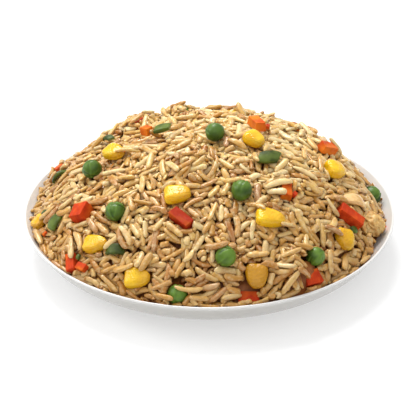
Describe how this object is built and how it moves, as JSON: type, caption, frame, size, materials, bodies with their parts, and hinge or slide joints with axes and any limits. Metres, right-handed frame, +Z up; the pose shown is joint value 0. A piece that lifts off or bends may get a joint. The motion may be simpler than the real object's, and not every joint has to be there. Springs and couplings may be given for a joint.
{
  "type": "plate of fried rice",
  "caption": "Round white coupe plate heaped with fried rice, with peas, sweetcorn, diced carrot, spring onion, onion and soft egg lumps. A prepared dish that stands on its foot ring.",
  "frame": {"origin": "centre of the plate's foot, on its underside, at table level", "axes": "+Z up, -Y towards the serving side, +X to its right"},
  "size_m": [0.165, 0.165, 0.0618],
  "materials": {
    "white_glaze": "glossy white glaze",
    "fried_rice": "cooked rice grains with a light oily sheen",
    "pea_green": "cooked pea skin, satin",
    "corn_yellow": "cooked sweetcorn, moist",
    "carrot_orange": "cooked carrot, moist",
    "stalk_green": "cooked green stalk, satin",
    "onion_pale": "softened onion, slightly translucent",
    "egg_cream": "scrambled egg, matt"
  },
  "bodies": {
    "root": {"plate": "white_glaze", "rice_heap": "fried_rice", "pea_01": "pea_green", "pea_02": "pea_green", "pea_03": "pea_green", "pea_04": "pea_green", "pea_05": "pea_green", "pea_06": "pea_green", "pea_07": "pea_green", "pea_08": "pea_green", "pea_09": "pea_green", "pea_10": "pea_green", "pea_11": "pea_green", "pea_12": "pea_green", "corn_01": "corn_yellow", "corn_02": "corn_yellow", "corn_03": "corn_yellow", "corn_04": "corn_yellow", "corn_05": "corn_yellow", "corn_06": "corn_yellow", "corn_07": "corn_yellow", "corn_08": "corn_yellow", "corn_09": "corn_yellow", "corn_10": "corn_yellow", "corn_11": "corn_yellow", "corn_12": "corn_yellow", "corn_13": "corn_yellow", "corn_14": "corn_yellow", "carrot_01": "carrot_orange", "carrot_02": "carrot_orange", "carrot_03": "carrot_orange", "carrot_04": "carrot_orange", "carrot_05": "carrot_orange", "carrot_06": "carrot_orange", "carrot_07": "carrot_orange", "carrot_08": "carrot_orange", "carrot_09": "carrot_orange", "carrot_10": "carrot_orange", "carrot_11": "carrot_orange", "carrot_12": "carrot_orange", "carrot_13": "carrot_orange", "carrot_14": "carrot_orange", "carrot_15": "carrot_orange", "green_01": "stalk_green", "green_02": "stalk_green", "green_03": "stalk_green", "green_04": "stalk_green", "green_05": "stalk_green", "green_06": "stalk_green", "green_07": "stalk_green", "green_08": "stalk_green", "onion_01": "onion_pale", "egg_01": "egg_cream", "egg_02": "egg_cream", "egg_03": "egg_cream"}
  },
  "joints": []
}
